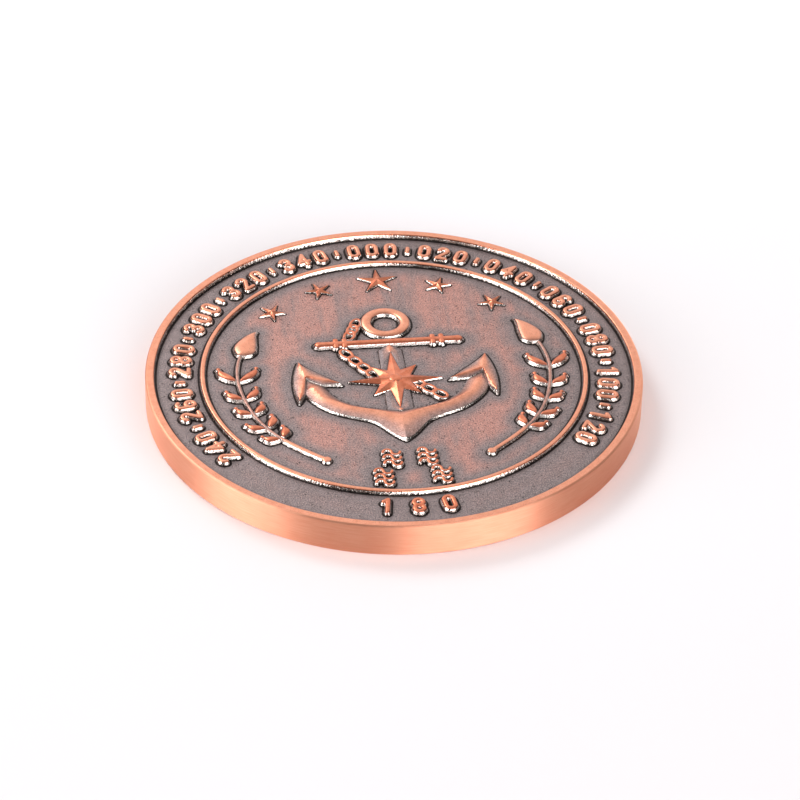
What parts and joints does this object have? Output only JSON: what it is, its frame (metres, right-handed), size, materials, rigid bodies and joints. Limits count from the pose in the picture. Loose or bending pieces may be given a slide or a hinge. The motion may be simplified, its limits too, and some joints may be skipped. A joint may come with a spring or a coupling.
{
  "type": "challenge coin",
  "caption": "Round struck coin with raised rims, an inner ring, an anchor between two branches, stars and a bearing scale around the border.",
  "frame": {"origin": "centre of the underside, on the plane that the reverse rim rests on", "axes": "+Z out of the obverse, the decorated upper face; +Y is the upright direction of the ornament, from the foot number to the great star; +X to the right of the ornament"},
  "size_m": [0.05, 0.05, 0.0035],
  "materials": {
    "antique_copper": "antique copper plate, grey-brown patina in the sunk fields, satin edge",
    "polished_copper": "copper plate rubbed bright on the raised ornament"
  },
  "bodies": {
    "root": {"coin_blank": "antique_copper", "obverse_rim": "polished_copper", "reverse_rim": "polished_copper", "inner_ring": "polished_copper", "reverse_ring": "polished_copper", "anchor_ring": "polished_copper", "anchor_stock": "polished_copper", "stock_collars": "polished_copper", "anchor_shank": "polished_copper", "anchor_arms": "polished_copper", "left_fluke": "polished_copper", "right_fluke": "polished_copper", "chain_by_ring": "polished_copper", "chain_below_stock": "polished_copper", "chain_to_arm": "polished_copper", "compass_star": "polished_copper", "compass_hub": "polished_copper", "great_star": "polished_copper", "small_stars": "polished_copper", "left_stem": "polished_copper", "right_stem": "polished_copper", "left_bud": "polished_copper", "right_bud": "polished_copper", "left_leaves": "polished_copper", "right_leaves": "polished_copper", "bearing_numbers": "polished_copper", "bearing_ticks": "polished_copper", "foot_number": "polished_copper", "wave_marks": "polished_copper", "reverse_wheel_rim": "polished_copper", "reverse_wheel_hub": "polished_copper", "reverse_wheel_spokes": "polished_copper", "reverse_wheel_handles": "polished_copper"}
  },
  "joints": []
}
